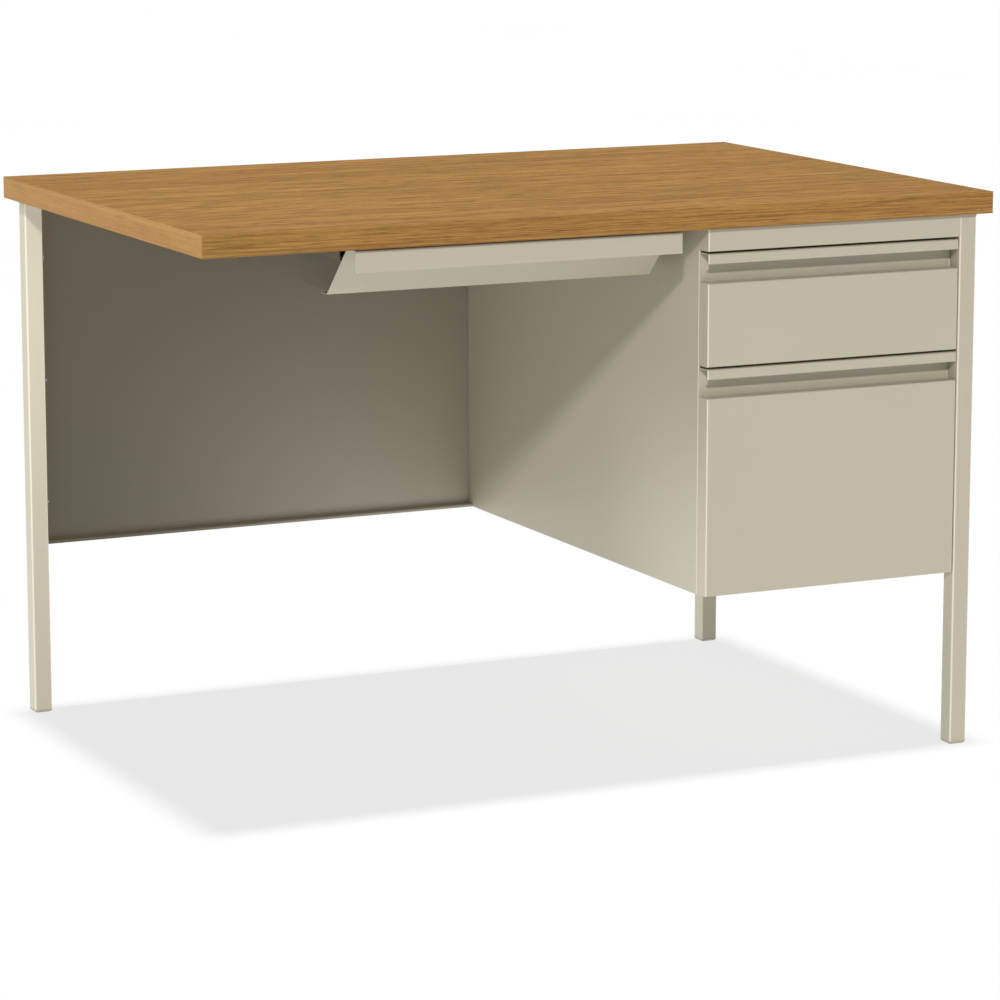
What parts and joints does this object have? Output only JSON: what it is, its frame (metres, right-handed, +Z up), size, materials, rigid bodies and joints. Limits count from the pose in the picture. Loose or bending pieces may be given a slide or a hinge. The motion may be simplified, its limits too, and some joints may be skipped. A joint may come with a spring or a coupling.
{
  "type": "teacher desk",
  "caption": "Steel desk with a wood-grain worktop on square legs, a modesty panel, a shallow centre drawer and a pedestal with a box drawer over a file drawer.",
  "frame": {"origin": "on the floor, under the middle of the worktop's footprint", "axes": "+X to the user's right, the pedestal side; +Y to the back, where the modesty panel is; +Z up"},
  "size_m": [1.12, 0.74, 0.749],
  "materials": {
    "putty_paint": "fine-textured putty powder coat, satin",
    "oak_laminate": "light oak pattern laminate, matt, straight grain along the width",
    "oak_edge_band": "oak pattern edge band, matt",
    "particle_board": "raw particle board",
    "backing_sheet": "plain brown phenolic backing sheet",
    "foot_plastic": "putty polyethylene, matt",
    "slide_zinc": "bright zinc plate, rolled",
    "screw_zinc": "bright zinc plate, turned",
    "nylon": "natural white nylon"
  },
  "bodies": {
    "desk": {"worktop_core": "particle_board", "worktop_laminate": "oak_laminate", "worktop_backer": "backing_sheet", "edge_band_front": "oak_edge_band", "edge_band_back": "oak_edge_band", "edge_band_left": "oak_edge_band", "edge_band_right": "oak_edge_band", "leg_back_left": "putty_paint", "leg_back_right": "putty_paint", "leg_front_right": "putty_paint", "leg_plates": "putty_paint", "foot_back_left": "foot_plastic", "foot_back_right": "foot_plastic", "foot_front_right": "foot_plastic", "modesty_panel": "putty_paint", "pedestal_side_left": "putty_paint", "pedestal_side_right": "putty_paint", "pedestal_back": "putty_paint", "pedestal_bottom": "putty_paint", "pedestal_top_rail": "putty_paint", "pedestal_middle_rail": "putty_paint", "stiffener_left": "putty_paint", "stiffener_cross": "putty_paint", "centre_runner_left": "putty_paint", "centre_runner_right": "putty_paint", "worktop_screws": "screw_zinc", "back_screws": "screw_zinc", "leg_bolts": "screw_zinc", "leg_rivet_nuts": "screw_zinc", "box_slide_outer_left": "slide_zinc", "box_slide_outer_right": "slide_zinc", "file_slide_outer_left": "slide_zinc", "file_slide_outer_right": "slide_zinc"},
    "centre_drawer": {"centre_drawer_front": "putty_paint", "centre_drawer_floor": "putty_paint", "centre_drawer_sides": "putty_paint", "centre_drawer_back": "putty_paint", "centre_drawer_glides": "nylon"},
    "box_drawer": {"box_slide_inner_left": "slide_zinc", "box_slide_inner_right": "slide_zinc", "box_drawer_front": "putty_paint", "box_drawer_inner_front": "putty_paint", "box_drawer_tray": "putty_paint", "box_drawer_back": "putty_paint", "box_drawer_screws": "screw_zinc"},
    "box_slide_middles": {"box_slide_middle_left": "slide_zinc", "box_slide_middle_right": "slide_zinc"},
    "file_drawer": {"file_slide_inner_left": "slide_zinc", "file_slide_inner_right": "slide_zinc", "file_drawer_front": "putty_paint", "file_drawer_inner_front": "putty_paint", "file_drawer_tray": "putty_paint", "file_drawer_back": "putty_paint", "file_drawer_screws": "screw_zinc", "hanging_rail_left": "slide_zinc", "hanging_rail_right": "slide_zinc"},
    "file_slide_middles": {"file_slide_middle_left": "slide_zinc", "file_slide_middle_right": "slide_zinc"}
  },
  "joints": [
    {"name": "centre_drawer_slide", "type": "slide", "parent": "desk", "child": "centre_drawer", "axis": [0, -1, 0], "range_m": [0, 0.3]},
    {"name": "box_drawer_slide", "type": "slide", "parent": "desk", "child": "box_drawer", "axis": [0, -1, 0], "range_m": [0, 0.45]},
    {"name": "box_slide_middle_slide", "type": "slide", "parent": "desk", "child": "box_slide_middles", "axis": [0, -1, 0], "range_m": [0, 0.225]},
    {"name": "file_drawer_slide", "type": "slide", "parent": "desk", "child": "file_drawer", "axis": [0, -1, 0], "range_m": [0, 0.55]},
    {"name": "file_slide_middle_slide", "type": "slide", "parent": "desk", "child": "file_slide_middles", "axis": [0, -1, 0], "range_m": [0, 0.275]}
  ],
  "couplings": [
    {"joint": "box_slide_middle_slide", "follows": "box_drawer_slide", "ratio": 0.5},
    {"joint": "file_slide_middle_slide", "follows": "file_drawer_slide", "ratio": 0.5}
  ]
}
